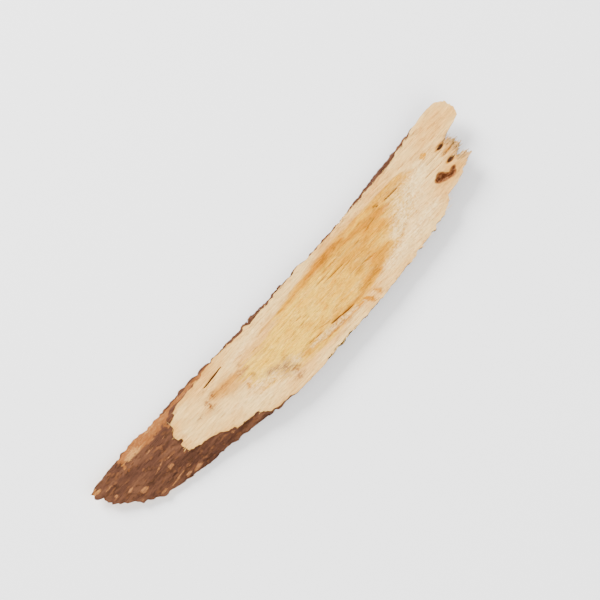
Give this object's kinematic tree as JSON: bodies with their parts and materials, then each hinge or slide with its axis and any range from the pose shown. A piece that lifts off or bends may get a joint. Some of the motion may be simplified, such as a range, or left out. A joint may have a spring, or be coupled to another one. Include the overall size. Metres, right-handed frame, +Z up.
{
  "type": "astragalus root slice",
  "caption": "Long thin slice of dried astragalus root, cut obliquely, with wrinkled brown bark on its rim and pale cortex round yellow wood.",
  "frame": {"origin": "centre of the bounding box's bottom, on the surface the slice lies on", "axes": "+X along the slice to its torn end, +Y towards the side that carries the long finger, +Z up"},
  "size_m": [0.095, 0.018, 0.0047],
  "materials": {
    "root_slice": "dry matte cut face of cortex and wood, with rough brown bark on the rim"
  },
  "bodies": {
    "root": {"root_slice": "root_slice"}
  },
  "joints": []
}
